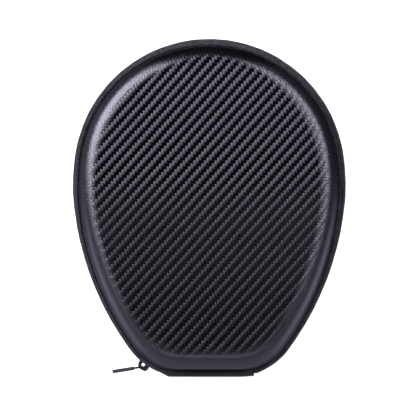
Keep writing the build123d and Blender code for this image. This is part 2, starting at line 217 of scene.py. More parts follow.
# ------------------------------------------------------------------ materials
class Nodes:
    """Short calls for building a node material."""

    def __init__(self, name):
        self.mat = bpy.data.materials.new(name)
        self.mat.use_nodes = True
        self.t = self.mat.node_tree
        self.t.nodes.clear()
        self.bsdf = self.t.nodes.new("ShaderNodeBsdfPrincipled")
        out = self.t.nodes.new("ShaderNodeOutputMaterial")
        self.t.links.new(self.bsdf.outputs[0], out.inputs[0])

    def put(self, node, key, v):
        sock = node.inputs[key]
        if isinstance(v, bpy.types.NodeSocket):
            self.t.links.new(v, sock)
        else:
            sock.default_value = v

    def math(self, op, a, b=0.0, c=0.0, clamp=False):
        n = self.t.nodes.new("ShaderNodeMath")
        n.operation, n.use_clamp = op, clamp
        for i, v in enumerate((a, b, c)):
            self.put(n, i, v)
        return n.outputs[0]

    def attr(self, name, out="Fac"):
        n = self.t.nodes.new("ShaderNodeAttribute")
        n.attribute_name = name
        return n.outputs[out]

    def obj(self):
        return self.t.nodes.new("ShaderNodeTexCoord").outputs["Object"]

    def split(self, v):
        n = self.t.nodes.new("ShaderNodeSeparateXYZ")
        self.put(n, 0, v)
        return n.outputs

    def noise(self, vec, scale, detail=3.0, rough=0.55, out="Fac"):
        n = self.t.nodes.new("ShaderNodeTexNoise")
        if vec is not None:
            self.put(n, "Vector", vec)
        self.put(n, "Scale", scale), self.put(n, "Detail", detail), self.put(n, "Roughness", rough)
        return n.outputs[out]

    def voronoi(self, vec, scale, feature="F1"):
        n = self.t.nodes.new("ShaderNodeTexVoronoi")
        n.feature = feature
        self.put(n, "Vector", vec), self.put(n, "Scale", scale)
        return n.outputs["Distance"]

    def ramp(self, f, stops):
        n = self.t.nodes.new("ShaderNodeValToRGB")
        e = n.color_ramp.elements
        while len(e) < len(stops):
            e.new(0.5)
        for k, (p, col) in zip(e, stops):
            k.position, k.color = p, (*col, 1.0) if len(col) == 3 else col
        self.put(n, 0, f)
        return n.outputs[0]

    def remap(self, f, a, b, lo, hi):
        n = self.t.nodes.new("ShaderNodeMapRange")
        n.interpolation_type = "SMOOTHSTEP"
        for k, v in zip(("Value", "From Min", "From Max", "To Min", "To Max"), (f, a, b, lo, hi)):
            self.put(n, k, v)
        return n.outputs[0]

    def vec(self, x, y, z=0.0):
        n = self.t.nodes.new("ShaderNodeCombineXYZ")
        for i, v in enumerate((x, y, z)):
            self.put(n, i, v)
        return n.outputs[0]

    def bump(self, height, distance, strength=1.0, normal=None):
        n = self.t.nodes.new("ShaderNodeBump")
        self.put(n, "Height", height), self.put(n, "Distance", distance), self.put(n, "Strength", strength)
        if normal is not None:
            self.put(n, "Normal", normal)
        return n.outputs[0]

    def set(self, **kw):
        for k, v in kw.items():
            self.put(self.bsdf, k.replace("_", " "), v)
        return self.mat


def twill(m, x, y):
    """Height 0..1 of a 2/2 twill: x, y in cells. Upright floats two cells tall climb to the right."""
    fl = m.math("FLOOR", x)
    fx = m.math("SUBTRACT", x, fl)
    d = m.math("FLOORED_MODULO", m.math("SUBTRACT", y, fl), 4.0)
    upright = m.math("LESS_THAN", d, 2.0)
    hv = m.math("MULTIPLY", m.math("POWER", m.math("SINE", m.math("MULTIPLY", fx, math.pi)), 0.8),
                m.math("POWER", m.math("ABSOLUTE", m.math("SINE", m.math("MULTIPLY", d, math.pi / 2))), 0.45))
    fr = m.math("FLOOR", y)
    fy = m.math("SUBTRACT", y, fr)
    e = m.math("FLOORED_MODULO", m.math("SUBTRACT", fr, x), 4.0)
    hh = m.math("MULTIPLY", m.math("POWER", m.math("SINE", m.math("MULTIPLY", fy, math.pi)), 0.8),
                m.math("POWER", m.math("ABSOLUTE", m.math("SINE", m.math("MULTIPLY", m.math("SUBTRACT", e, 1.0), math.pi / 2))), 0.45))
    hh = m.math("MULTIPLY", hh, WEFT)
    return m.math("ADD", m.math("MULTIPLY", hv, upright), m.math("MULTIPLY", hh, m.math("SUBTRACT", 1.0, upright))), upright


CELL_X, CELL_Y, WEFT = 1.86, 2.07, 0.20


def cover_material():
    m = Nodes("cover_embossed_pu")
    pos = m.attr("flat", "Vector")
    f = m.split(pos)
    fade, part, relief = m.attr("fade"), m.attr("tone"), m.attr("relief")
    x, y = m.math("DIVIDE", f[0], CELL_X), m.math("DIVIDE", f[1], CELL_Y)
    h, upright = twill(m, x, y)
    hf = m.math("MULTIPLY", h, fade)
    weft = m.math("MULTIPLY", m.math("SUBTRACT", 1.0, upright), part)
    warp = m.math("MULTIPLY", upright, part)
    grain, pebble = m.noise(pos, 2.6, 4.0, 0.6), m.noise(pos, 0.85, 2.0, 0.5)
    fine = m.math("MULTIPLY", hf, m.math("SUBTRACT", 1.0, m.math("MULTIPLY", relief, 0.5)))
    nrm = m.bump(m.math("ADD", grain, m.math("MULTIPLY", pebble, 2.6)), 0.00005, 1.0, m.bump(fine, 0.00034))
    patch = m.noise(pos, 0.03, 3.0)
    tone = m.math("ADD", m.math("MULTIPLY", hf, 0.45), m.math("MULTIPLY", patch, 0.2))
    tone = m.math("ADD", tone, m.math("MULTIPLY", m.math("SUBTRACT", 1.0, fade), 0.4))
    tone = m.math("SUBTRACT", tone, m.math("MULTIPLY", weft, 0.6), clamp=True)
    col = m.ramp(tone, [(0.0, (0.0012, 0.0011, 0.0017)), (0.35, (0.0034, 0.0031, 0.0048)), (0.8, (0.0105, 0.0098, 0.0145))])
    rough = m.remap(m.math("ADD", m.math("MULTIPLY", grain, 0.3), m.math("MULTIPLY", pebble, 0.7)), 0.35, 0.65, 0.23, 0.38)
    rough = m.math("ADD", rough, m.math("MULTIPLY", warp, 0.10))
    rough = m.math("ADD", rough, m.math("MULTIPLY", m.math("SUBTRACT", 1.0, part), m.remap(f[1], -90.0, 10.0, 0.10, 0.0)))
    # painted light gradient in the two gloss tones: the floats' reflection is dulled and the crossings' brightened
    # towards the hinge, so the face reads lit brighter at the top than at the bottom
    low = m.math("MAXIMUM", m.remap(f[1], -110.0, -20.0, 0.68, 0.870), m.remap(f[1], -20.0, 30.0, 0.86, 0.988))
    high = m.math("MINIMUM", m.remap(f[1], -110.0, -70.0, 0.42, 0.58), m.remap(f[1], -20.0, 35.0, 0.58, 0.31))
    # painted shade: the floats' reflection is dulled where they dip at their edges and ends, darkening the gaps between
    # them
    painted_gap_shade = m.math("POWER", m.math("SUBTRACT", 1.0, h, clamp=True), 2.2)
    high = m.math("ADD", high, m.math("MULTIPLY", painted_gap_shade, 0.36), clamp=True)
    gloss_split_and_painted_shade = m.math("ADD", m.math("MULTIPLY", weft, low), m.math("MULTIPLY", warp, high))
    # painted shade: the gloss is dulled further along the top end and in the lower shoulders where the weave fades,
    # darkening the reflections there
    ends = m.math("ADD", m.remap(f[1], 97.0, 106.0, 0.0, 0.70), m.remap(f[1], -90.0, -65.0, 0.10, 0.0))
    ends = m.math("ADD", ends, m.math("MULTIPLY", m.remap(fade, 0.05, 0.25, 0.0, 1.0), m.remap(f[1], -85.0, -30.0, 0.50, 0.0)))
    gloss_split_and_painted_shade = m.math("ADD", gloss_split_and_painted_shade, m.math("MULTIPLY", m.math("SUBTRACT", 1.0, part), ends))
    return m.set(Base_Color=col, Roughness=rough, Normal=nrm, Metallic=gloss_split_and_painted_shade, Specular_IOR_Level=0.85,
                 Specular_Tint=(0.92, 0.90, 1.0, 1.0))


def cloth_material(name, dark, light, pitch, bump=0.00012, rough=0.85, lines=0.0, sheen=0.1, fleck=0.35):
    """Plain woven band: 'along' and 'across' in mm, pitch = (along, across) thread spacing."""
    m = Nodes(name)
    al, ac = m.attr("along"), m.attr("across")
    u, v = m.math("DIVIDE", al, pitch[0]), m.math("DIVIDE", ac, pitch[1])
    par = m.math("FLOORED_MODULO", m.math("ADD", m.math("FLOOR", u), m.math("FLOOR", v)), 2.0)
    su = m.math("ABSOLUTE", m.math("SINE", m.math("MULTIPLY", u, math.pi)))
    sv = m.math("ABSOLUTE", m.math("SINE", m.math("MULTIPLY", v, math.pi)))
    h = m.math("MULTIPLY", m.math("POWER", su, 0.6), m.math("POWER", sv, 0.6))
    h = m.math("MULTIPLY", h, m.math("ADD", 0.55, m.math("MULTIPLY", par, 0.45)))
    if lines:
        ln = m.math("POWER", m.math("ABSOLUTE", m.math("SINE", m.math("MULTIPLY", m.math("DIVIDE", ac, lines), math.pi))), 0.5)
        h = m.math("ADD", m.math("MULTIPLY", h, 0.7), m.math("MULTIPLY", ln, 0.4))
    fuzz, spot, blotch = m.noise(m.obj(), 2600.0, 3.0), m.noise(m.obj(), 800.0, 2.0), m.noise(m.obj(), 60.0, 3.0)
    nrm = m.bump(m.math("ADD", h, m.math("MULTIPLY", fuzz, 0.5)), bump)
    spots = m.remap(m.math("ADD", m.math("MULTIPLY", spot, 0.6), m.math("MULTIPLY", fuzz, 0.4)), 0.36, 0.64, 0.0, 1.0)
    tone = m.math("ADD", m.math("MULTIPLY", h, 0.3), m.math("ADD", m.math("MULTIPLY", blotch, 0.7 - fleck), m.math("MULTIPLY", spots, fleck)))
    col = m.ramp(tone, [(0.15, dark), (0.85, light)])
    return m.set(Base_Color=col, Roughness=rough, Normal=nrm, Sheen_Weight=sheen, Sheen_Roughness=0.5,
                 Specular_IOR_Level=0.3)


def knit_material(name, dark, light, pitch=0.9, bump=0.00012):
    """Brushed knit: columns of small loops, on 'flat' in mm."""
    m = Nodes(name)
    f = m.split(m.attr("flat", "Vector"))
    u, v = m.math("DIVIDE", f[0], pitch), m.math("DIVIDE", f[1], pitch * 0.8)
    fl = m.math("FLOOR", u)
    fx = m.math("SUBTRACT", m.math("SUBTRACT", u, fl), 0.5)
    slant = m.math("ADD", v, m.math("MULTIPLY", m.math("ABSOLUTE", fx), 1.1))
    row = m.math("ABSOLUTE", m.math("SINE", m.math("MULTIPLY", slant, math.pi)))
    column = m.math("POWER", m.math("ABSOLUTE", m.math("COSINE", m.math("MULTIPLY", fx, math.pi))), 0.5)
    h = m.math("MULTIPLY", m.math("POWER", row, 0.6), column)
    fuzz = m.noise(m.attr("flat", "Vector"), 3.0, 4.0, 0.6)
    blotch = m.noise(m.attr("flat", "Vector"), 0.06, 3.0)
    nrm = m.bump(m.math("ADD", h, m.math("MULTIPLY", fuzz, 0.9)), bump)
    tone = m.math("ADD", m.math("MULTIPLY", h, 0.4), m.math("ADD", m.math("MULTIPLY", fuzz, 0.3), m.math("MULTIPLY", blotch, 0.3)))
    col = m.ramp(tone, [(0.2, dark), (0.85, light)])
    return m.set(Base_Color=col, Roughness=0.95, Normal=nrm, Sheen_Weight=0.35, Sheen_Roughness=0.6, Specular_IOR_Level=0.2)


def metal_material():
    """Black enamel on cast zinc, rubbed a little brighter in patches."""
    m = Nodes("black_enamel")
    p = m.obj()
    fine, broad = m.noise(p, 4200.0, 4.0), m.noise(p, 420.0, 4.0, 0.65)
    col = m.ramp(broad, [(0.3, (0.010, 0.010, 0.012)), (0.62, (0.022, 0.022, 0.026)), (0.8, (0.06, 0.058, 0.060))])
    rough = m.remap(broad, 0.35, 0.75, 0.24, 0.42)
    return m.set(Base_Color=col, Metallic=0.35, Roughness=rough, Normal=m.bump(fine, 0.00002),
                 Coat_Weight=0.5, Coat_Roughness=0.15)


def rubber_material():
    m = Nodes("moulded_grip")
    p = m.obj()
    fine, broad = m.noise(p, 5200.0, 3.0), m.noise(p, 260.0, 3.0)
    col = m.ramp(broad, [(0.3, (0.006, 0.006, 0.0075)), (0.75, (0.015, 0.015, 0.018))])
    rough = m.remap(fine, 0.3, 0.7, 0.42, 0.56)
    return m.set(Base_Color=col, Roughness=rough, Normal=m.bump(fine, 0.00003), Specular_IOR_Level=0.5)


def foam_material():
    m = Nodes("moulded_foam")
    p = m.obj()
    cells, broad = m.voronoi(p, 1400.0), m.noise(p, 90.0, 3.0)
    col = m.ramp(m.math("ADD", m.math("MULTIPLY", cells, 0.5), m.math("MULTIPLY", broad, 0.5)),
                 [(0.2, (0.020, 0.020, 0.021)), (0.8, (0.045, 0.045, 0.047))])
    return m.set(Base_Color=col, Roughness=m.remap(broad, 0.3, 0.7, 0.8, 0.95), Normal=m.bump(cells, 0.00008), Specular_IOR_Level=0.25)


def nylon_material(name="nylon_coil", light=(0.030, 0.030, 0.034)):
    m = Nodes(name)
    p = m.obj()
    broad, fine = m.noise(p, 900.0, 3.0), m.noise(p, 5200.0, 2.0)
    col = m.ramp(broad, [(0.3, (0.012, 0.012, 0.014)), (0.7, light)])
    return m.set(Base_Color=col, Roughness=m.remap(fine, 0.3, 0.7, 0.26, 0.40), Normal=m.bump(fine, 0.00001), Specular_IOR_Level=0.55)


def thread_material():
    """Twisted thread: fine slanting plies."""
    m = Nodes("bonded_thread")
    p = m.split(m.obj())
    ply = m.math("SINE", m.math("MULTIPLY", m.math("ADD", m.math("ADD", p[0], p[1]), m.math("MULTIPLY", p[2], 1.5)), 9000.0))
    broad = m.noise(m.obj(), 300.0, 2.0)
    col = m.ramp(m.math("ADD", m.math("MULTIPLY", ply, 0.2), broad), [(0.3, (0.010, 0.010, 0.012)), (0.75, (0.034, 0.034, 0.040))])
    return m.set(Base_Color=col, Roughness=m.remap(broad, 0.3, 0.7, 0.42, 0.6), Normal=m.bump(ply, 0.00003), Specular_IOR_Level=0.5)


MAT = {
    "cover": cover_material(),
    "tape": cloth_material("zip_tape_weave", (0.0010, 0.0010, 0.0013), (0.036, 0.035, 0.043), (1.1, 0.8), 0.00020, 0.85, lines=0.95, sheen=0.0, fleck=0.6),
    "ribbon": cloth_material("grosgrain", (0.014, 0.014, 0.016), (0.034, 0.034, 0.038), (0.55, 3.0), 0.00012, 0.8),
    "hinge": cloth_material("hinge_cloth", (0.004, 0.004, 0.0045), (0.013, 0.013, 0.0145), (0.62, 0.62), 0.00012, 0.82, sheen=0.15),
    "elastic": cloth_material("ribbed_elastic", (0.012, 0.012, 0.013), (0.036, 0.036, 0.040), (0.8, 0.9), 0.00018, 0.8),
    "knit": knit_material("knit_lining", (0.022, 0.022, 0.025), (0.060, 0.060, 0.066)),
    "metal": metal_material(), "rubber": rubber_material(), "foam": foam_material(),
    "nylon": nylon_material(), "net": nylon_material("net_yarn", (0.045, 0.045, 0.050)), "thread": thread_material(),
}

# ------------------------------------------------------------------ section of the rim (n, s) in mm
WALL_N, SKIN_S, DRAFT = -5.0, 7.8, math.tan(math.radians(5.0))
RIM_S, BEAD_N, BEAD_S = 5.3, -2.2, 6.7
SHOULDER, FACE_N = 9.5, -15.91
PLY = 4.6
FADE = (13.6, 16.6)                                      # where the weave fades in, inside the outline


def wall(s, depth=0.0):
    return WALL_N - (s - SKIN_S) * DRAFT - depth


def centre_rings(t, ring_n, s_of, count, side, centre=(0.0, 14.0), power=1.0):
    """Rings of points from the offset outline at ring_n in to the centre; s_of(f) gives their height."""
    P, U = rim(t)
    edge = P + U * ring_n
    c = np.array(centre)
    rows, flats = [], []
    for k in range(1, count):
        f = (k / count) ** power
        q = edge + (c - edge) * f
        rows.append(np.column_stack([q, np.full(len(t), SEAM + side * s_of(f))]))
        flats.append(np.column_stack([q, np.zeros(len(t))]))
    return rows, flats, np.array([c[0], c[1], SEAM + side * s_of(1.0)])


def shell_surface(profile, t, ring_n, s_of, rings, side, start_flat=0.0):
    """Rows of vertices from the edge of a shell up its wall, round the shoulder and in to the centre."""
    P, U = rim(t)
    prof = np.asarray(profile, float)
    rest = np.linalg.norm(np.diff(prof, axis=0), axis=1)
    arc_in = np.concatenate([np.cumsum(rest[::-1])[::-1], [0.0]])      # arc length from each row to the face
    rows, flats = [], []
    for (n, s), a in zip(prof, arc_in):
        q = P + U * n
        rows.append(np.column_stack([q, np.full(len(t), SEAM + side * s)]))
        flats.append(np.column_stack([P + U * (ring_n + a), np.zeros(len(t))]))
    r2, f2, mid = centre_rings(t, ring_n, s_of, rings, side)
    return rows + r2, flats + f2, mid


def twill_height(x, y):
    """The same 2/2 twill as the cover's material, sampled at points x, y in cells: 0 to 1."""
    fl = np.floor(x)
    d = np.mod(y - fl, 4.0)
    up = d < 2.0
    hv = np.abs(np.sin((x - fl) * math.pi)) ** 0.8 * np.abs(np.sin(d * math.pi / 2)) ** 0.45
    fr = np.floor(y)
    e = np.mod(fr - x, 4.0)
    hh = WEFT * np.abs(np.sin((y - fr) * math.pi)) ** 0.8 * np.abs(np.sin((e - 1.0) * math.pi / 2)) ** 0.45
    return np.where(up, hv, hh)


def smooth(x, a, b):
    u = np.clip((x - a) / (b - a), 0, 1)
    return u * u * (3 - 2 * u)


def fade_at(d, ux, uy):
    """How deep the embossing is at distance d inside the outline, where the outward normal is (ux, uy)."""
    top, bot, right = np.clip(uy, 0, 1) ** 6, np.clip(-uy, 0, 1) ** 2, np.clip(ux, 0, 1) ** 2
    far = smooth(-uy, 0.45, 0.95)
    low = 1.4 * far * np.clip(-ux, 0, 1)
    return 0.05 + 0.95 * smooth(d, 12.3 - 2.0 * top + 1.5 * bot - 0.3 * right + 1.3 * far,
                                17.4 - 3.2 * top + 1.5 * bot + 0.2 * right + 4.0 * far + 2.0 * low)


def tone_at(d, ux, uy):
    """How far its two gloss tones have parted there."""
    top, bot, right = np.clip(uy, 0, 1) ** 6, np.clip(-uy, 0, 1) ** 2, np.clip(ux, 0, 1) ** 2
    diag = 2 * np.abs(ux) * np.clip(uy, 0, 1) * np.where(ux > 0, 1.25, 1.1)
    far = smooth(-uy, 0.45, 0.95)
    low = 1.4 * far * np.clip(-ux, 0, 1)
    return smooth(d, 14.7 - 2.2 * top - 0.4 * bot + 0.8 * right + diag + 1.2 * far,
                  17.6 - 3.0 * top + 1.4 * bot + 1.9 * right + diag + 4.6 * far + 3.0 * low)


LIP = [(-6.05, SKIN_S + 0.04), (-5.60, SKIN_S - 0.05), (-5.20, SKIN_S - 0.08), (-4.90, SKIN_S + 0.04), (-4.72, SKIN_S + 0.26),
       (-4.65, SKIN_S + 0.52), (-4.69, SKIN_S + 0.80), (-4.83, SKIN_S + 1.05), (-5.04, SKIN_S + 1.20), (-5.28, SKIN_S + 1.27),
       (-5.48, SKIN_S + 1.36), (-5.62, SKIN_S + 1.56), (-5.66, SKIN_S + 1.95), (-5.60, SKIN_S + 2.8), (-5.51, SKIN_S + 3.6)]
RELIEF, CROWN_POWER = 0.17, 6


SEAT = np.array([(-90, -0.70), (-76, 0.90), (-45, 1.25), (-30, 1.10), (-19, 0.50), (-10, -0.60), (0, -1.05), (30, -1.20),
                 (60, -1.15), (90, -0.85), (130, -0.30), (160, 0.0), (186, 0.20), (196, 0.75), (208, 1.0), (222, 1.2),
                 (256, 0.90), (270, -0.70)])
SEAT_A = np.arange(-90, 270, 2.0)
SEAT_V = np.interp(SEAT_A, *SEAT.T)
SEAT_V = sum(np.roll(SEAT_V, k) for k in range(-3, 4)) / 7


def sit(U):
    """How far out the low edge of the cover sits, by the direction of the rim. It doesn't lie quite true on the
    seam: more tape shows at the round end and on the right than at the two corners."""
    return np.interp(np.degrees(np.arctan2(U[:, 1], U[:, 0])), SEAT_A, SEAT_V, period=360.0)


def seat(P, U, n, s, side):
    """Ring of points at section point (n, s), moved as sit() says low down, and true higher up. The rolled edge is
    fuller along the lower flanks than round the top."""
    w, low = 1 - smooth(np.array([s]), 9.0, 22.0)[0], sit(U)
    if n > -5.60 and s < SKIN_S + 1.5:
        n = -5.60 + (n + 5.60) * (0.45 + 0.75 * smooth(-U[:, 1], -0.05, 0.30) - 0.40 * smooth(-U[:, 1], 0.8, 1.0))
    return np.column_stack([P + U * (n + w * low)[:, None], SEAM + side * (s + 0.25 * w * np.clip(low, 0, 1))])


def cover(name, side, crown):
    """Embossed cover: rolled edge, drafted wall, round shoulder, slightly crowned face with the weave in relief,
    and its inner side."""
    t = np.linspace(0, RIM, 640, endpoint=False)
    P, U = rim(t)
    cols, mid, end = len(t), np.array([0.0, 14.0]), 90 - math.degrees(CROWN_POWER * crown / 78.0)
    rc = HALF - crown - SHOULDER * math.sin(math.radians(end))
    turn0 = rc + SHOULDER * math.sin(math.radians(5))
    nc = wall(turn0) - SHOULDER * math.cos(math.radians(5))
    prof = LIP + [tuple(p) for p in dense([(wall(SKIN_S + 5.0), SKIN_S + 5.0), (wall(turn0), turn0)], 1.6)]
    prof += arc_pts((nc, rc), SHOULDER, 5, end, 19)[1:]
    face_n = prof[-1][0]

    def shifted(n, s):
        return seat(P, U, n, s, side)

    rest = np.concatenate([np.cumsum(np.linalg.norm(np.diff(np.array(prof), axis=0), axis=1)[::-1])[::-1], [0.0]])
    V, flat, fade, tone, relief = [], [], [], [], []
    for (n, s), a in zip(prof, rest):
        V.append(shifted(n, s))
        flat.append(np.column_stack([P + U * (face_n + a), np.zeros(cols)]))
        fade.append(fade_at(-n, U[:, 0], U[:, 1]))
        tone.append(tone_at(-n, U[:, 0], U[:, 1]))
        relief.append(np.zeros(cols))
    rows = len(prof)
    F = [tuple(f) for f in grid_faces(rows, cols, close_cols=True, flip=side > 0)]

    # the face: a lattice of three points a cell, joined to the last ring by a triangulated band
    ring = P + U * face_n
    ax, ay = CELL_X / 3, CELL_Y / 3
    ix, iy = np.arange(-140, 141), np.arange(-160, 161)
    GX, GY = np.meshgrid(ix * ax, iy * ay, indexing="ij")
    g = np.column_stack([GX.ravel(), GY.ravel()])
    ang = np.unwrap(np.arctan2(*(ring - mid).T[::-1]))
    order = np.argsort(np.mod(ang, 2 * np.pi))
    ra, rr = np.mod(ang, 2 * np.pi)[order], np.linalg.norm(ring - mid, axis=1)[order]
    q = g - mid
    far = np.interp(np.mod(np.arctan2(q[:, 1], q[:, 0]), 2 * np.pi), ra, rr, period=2 * np.pi)
    near = np.linalg.norm(q, axis=1)
    ok = (near < far - 0.9).reshape(GX.shape)
    cell = ok[:-1, :-1] & ok[1:, :-1] & ok[:-1, 1:] & ok[1:, 1:]
    used = np.zeros_like(ok)
    used[:-1, :-1] |= cell
    used[1:, :-1] |= cell
    used[:-1, 1:] |= cell
    used[1:, 1:] |= cell
    num = -np.ones(ok.shape, int)
    num[used] = np.arange(used.sum()) + rows * cols
    pts = np.column_stack([GX[used], GY[used]])
    share = (near / far).reshape(GX.shape)[used]
    tq = np.interp(np.mod(np.arctan2(*(pts - mid).T[::-1]), 2 * np.pi), ra, np.arange(cols)[order], period=2 * np.pi)
    # distance inside the outline, near enough for the fade
    depth = -face_n + (far - near).reshape(GX.shape)[used] * 0.95
    nearest = order[np.clip(np.searchsorted(ra, np.mod(np.arctan2(*(pts - mid).T[::-1]), 2 * np.pi)), 0, cols - 1)]
    fd = fade_at(depth, U[nearest, 0], U[nearest, 1])
    up = RELIEF * fd * smooth(depth, -face_n + 0.9, -face_n + 3.0)
    z = HALF - crown * share ** CROWN_POWER - RELIEF * smooth(depth, -face_n, -face_n + 3.0) + up * twill_height(pts[:, 0] / CELL_X, pts[:, 1] / CELL_Y)
    V.append(np.column_stack([pts, SEAM + side * z]))
    flat.append(np.column_stack([pts, np.zeros(len(pts))]))
    fade.append(fd)
    tone.append(tone_at(depth, U[nearest, 0], U[nearest, 1]))
    relief.append(up / RELIEF)
    i, j = np.nonzero(cell)
    quads = np.stack([num[i, j], num[i + 1, j], num[i + 1, j + 1], num[i, j + 1]], 1)
    F += [tuple(f) for f in (quads if side > 0 else quads[:, ::-1])]
    # band between the lattice's stepped edge and the ring
    count = {}
    for a, b in np.concatenate([quads[:, [k, (k + 1) % 4]] for k in range(4)]):
        key = (min(a, b), max(a, b))
        count[key] = count.get(key, 0) + 1
    loose = [k for k, c in count.items() if c == 1]
    rim_ids = [(rows - 1) * cols + k for k in range(cols)]
    ids = rim_ids + sorted({v for e in loose for v in e})
    at = {v: k for k, v in enumerate(ids)}
    allxy = np.vstack([np.vstack(V)[:, :2]])
    co = [Vector((float(allxy[v][0]), float(allxy[v][1]))) for v in ids]
    edges = [(k, (k + 1) % cols) for k in range(cols)] + [(at[a], at[b]) for a, b in loose]
    out = delaunay_2d_cdt(co, edges, [], 1, 1e-6)
    back = [ids[o[0]] for o in out[3]]
    for tri in out[2]:
        v = [back[k] for k in tri]
        if len(set(v)) < 3:
            continue
        m = allxy[v].mean(0)
        k, l = int(math.floor(m[0] / ax)) + 140, int(math.floor(m[1] / ay)) + 160
        if cell[k, l]:
            continue
        a, b, c = (allxy[x] for x in v)
        ccw = (b[0] - a[0]) * (c[1] - a[1]) - (b[1] - a[1]) * (c[0] - a[0]) > 0
        F.append(tuple(v) if ccw == (side > 0) else tuple(v[::-1]))

    # inner side, 0.8 mm in, joined at the rolled edge
    inner = [(wall(SKIN_S, 0.8), SKIN_S + 0.05), (wall(rc, 0.8), rc)] + arc_pts((nc, rc), SHOULDER - 0.8, 10, end, 5)
    base = sum(len(v) for v in V)
    for n, s in inner:
        V.append(shifted(n, s))
    for f in (0.4, 0.8):
        V.append(np.column_stack([ring + (mid - ring) * f, np.full(cols, SEAM + side * (HALF - 0.8 - crown * (1 - f) ** 2))]))
    V.append(np.array([[*mid, SEAM + side * (HALF - 0.8)]]))
    r_in = len(inner) + 2
    F += [tuple(base + np.array(f)) for f in grid_faces(r_in, cols, close_cols=True, flip=side < 0)]
    last = base + (r_in - 1) * cols
    for k in range(cols):
        a, b = last + k, last + (k + 1) % cols
        F.append((b, a, base + r_in * cols) if side > 0 else (a, b, base + r_in * cols))
        a, b, c, d = k, (k + 1) % cols, base + (k + 1) % cols, base + k
        F.append((a, b, c, d) if side < 0 else (d, c, b, a))
    V = np.vstack(V)
    flat = np.vstack(flat + [np.column_stack([V[base:, :2], np.zeros(len(V) - base)])])
    zero = np.zeros(len(V) - base)
    return mesh(name, V, F, MAT["cover"], attrs={"flat": flat, "fade": np.concatenate(fade + [zero]), "tone": np.concatenate(tone + [zero]), "relief": np.concatenate(relief + [zero])})


def lining(name, side):
    """Knit lining, 0.6 mm thick, over the inside of the foam: seen when the case is open."""
    t = np.linspace(0, RIM, 420, endpoint=False)
    rc, r = HALF - SHOULDER, SHOULDER - PLY
    V, F, flat, base = [], [], [], 0
    layers = []
    for depth, rings in ((PLY, 40), (PLY - 0.6, 8)):
        prof = [tuple(p) for p in dense([(wall(RIM_S, depth), RIM_S), (wall(rc, depth), rc)], 2.0)]
        prof += arc_pts((FACE_N, rc), SHOULDER - depth, 5, 90, 9)
        top = HALF - depth
        rows, flats, mid = shell_surface(prof, t, FACE_N, lambda f, top=top: top, rings, side)
        layers.append((rows, flats, mid))
    cols = len(t)
    for i, (rows, flats, mid) in enumerate(layers):
        flip = (side > 0) == (i == 1)
        F += [tuple(base + np.array(f)) for f in grid_faces(len(rows), cols, close_cols=True, flip=flip)]
        last, c = base + (len(rows) - 1) * cols, base + len(rows) * cols
        for k in range(cols):
            a, b = last + k, last + (k + 1) % cols
            F.append((a, b, c) if flip else (b, a, c))
        V += rows + [mid[None]]
        flat += flats + [np.array([[0.0, 14.0, 0.0]])]
        if i == 0:
            base2 = base + len(rows) * cols + 1
        base += len(rows) * cols + 1
    for k in range(cols):
        a, b, c, d = k, (k + 1) % cols, base2 + (k + 1) % cols, base2 + k
        F.append((a, b, c, d) if side > 0 else (d, c, b, a))
    return mesh(name, np.vstack(V), F, MAT["knit"], attrs={"flat": np.vstack(flat)})


def foam_shell(name, side, crown):
    """Moulded foam between cover and lining, 0.82 to 4.0 mm inside the outer surface."""
    t = np.linspace(0, RIM, 360, endpoint=False)
    P, U = rim(t)
    cols, mid = len(t), np.array([0.0, 14.0])
    rc = HALF - crown - SHOULDER
    outer = [(wall(RIM_S, 0.8), RIM_S)] + [(wall(s, 0.82), s) for s in (7.0, 8.0, 9.2, 11.0, 14.0, 18.0, rc)]
    outer += arc_pts((FACE_N, rc), SHOULDER - 0.82, 14, 90, 9)
    inner = [(wall(RIM_S, 4.0), RIM_S), (wall(12.0, 4.0), 12.0), (wall(HALF - SHOULDER, 4.0), HALF - SHOULDER)]
    inner += arc_pts((FACE_N, HALF - SHOULDER), SHOULDER - 4.0, 14, 90, 9)
    V, F = [], []
    for prof, shaped, top in ((outer, True, HALF - crown - 0.82), (inner, False, HALF - 4.0)):
        base = sum(len(v) for v in V)
        rings = [seat(P, U, n, s, side) if shaped else np.column_stack([P + U * n, np.full(cols, SEAM + side * s)]) for n, s in prof]
        edge = P + U * prof[-1][0]
        rings += [np.column_stack([edge + (mid - edge) * f, np.full(cols, SEAM + side * top)]) for f in (0.35, 0.7)]
        V += rings + [np.array([[*mid, SEAM + side * top]])]
        flip = (side > 0) == shaped
        F += [tuple(base + np.array(f)) for f in grid_faces(len(rings), cols, close_cols=True, flip=flip)]
        last, c = base + (len(rings) - 1) * cols, base + len(rings) * cols
        for k in range(cols):
            a, b = last + k, last + (k + 1) % cols
            F.append((b, a, c) if flip else (a, b, c))
    for k in range(cols):
        a, b, c, d = k, (k + 1) % cols, base + (k + 1) % cols, base + k
        F.append((d, c, b, a) if side > 0 else (a, b, c, d))
    return mesh(name, np.vstack(V), F, MAT["foam"], sharp=40)


